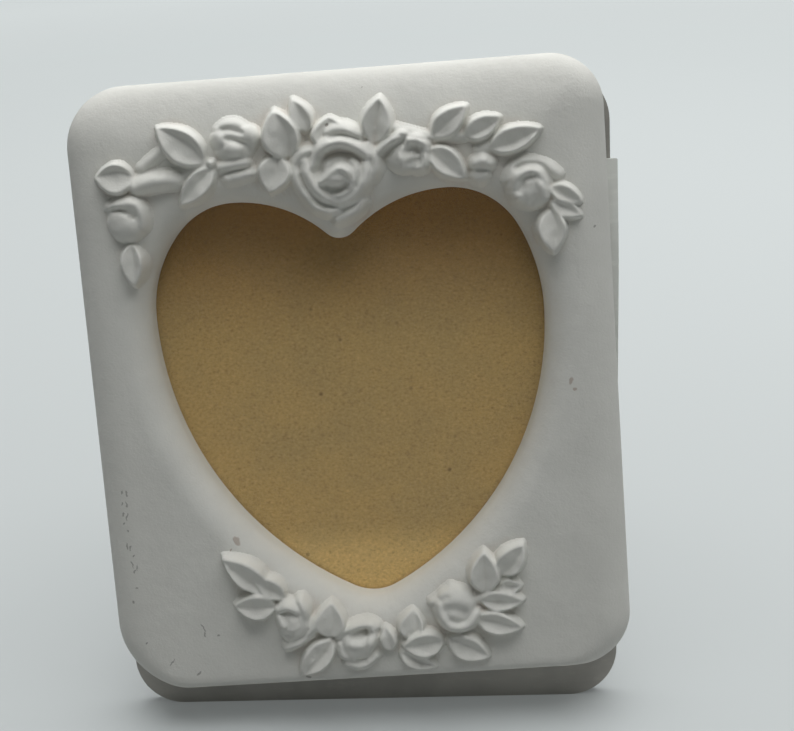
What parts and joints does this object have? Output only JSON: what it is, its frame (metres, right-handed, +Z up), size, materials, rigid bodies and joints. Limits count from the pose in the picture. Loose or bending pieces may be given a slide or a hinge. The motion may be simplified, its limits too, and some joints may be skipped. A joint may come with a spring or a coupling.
{
  "type": "photo frame",
  "caption": "Small standing photo frame: a matt white cast plaque with a heart window, rose garlands in relief, a side-loading photo card and a hinged easel leg.",
  "frame": {"origin": "middle of the back board's flat foot, on the surface that the frame stands on", "axes": "+Z up, -Y towards the viewer, +X to the viewer's right"},
  "size_m": [0.0932, 0.0445, 0.112],
  "materials": {
    "cast_white": "matt, softly worn",
    "clear_sheet": "clear",
    "brown_card": "fibrous, matt",
    "white_card": "matt",
    "grey_board": "matt, lightly grained",
    "steel": "satin"
  },
  "bodies": {
    "frame": {"front_casting": "cast_white", "upper_garland": "cast_white", "lower_garland": "cast_white", "window_sheet": "clear_sheet", "pocket_top_strip": "white_card", "pocket_bottom_strip": "white_card", "pocket_end_strip": "white_card", "back_board": "grey_board", "hinge_board_leaf": "steel", "hinge_pin": "steel", "board_rivets": "steel"},
    "photo_slide": {"slide_card": "white_card", "photo_card": "brown_card"},
    "easel": {"easel_leg": "grey_board", "hinge_leg_leaf": "steel", "leg_rivets": "steel"}
  },
  "joints": [
    {"name": "photo_slide_out", "type": "slide", "parent": "frame", "child": "photo_slide", "axis": [1, 0, 0], "range_m": [0, 0.07]},
    {"name": "easel_fold", "type": "hinge", "parent": "frame", "child": "easel", "pos_m": [0, 0.0168, 0.06798], "axis": [-1, 0, 0], "range_deg": [0, 24]}
  ]
}
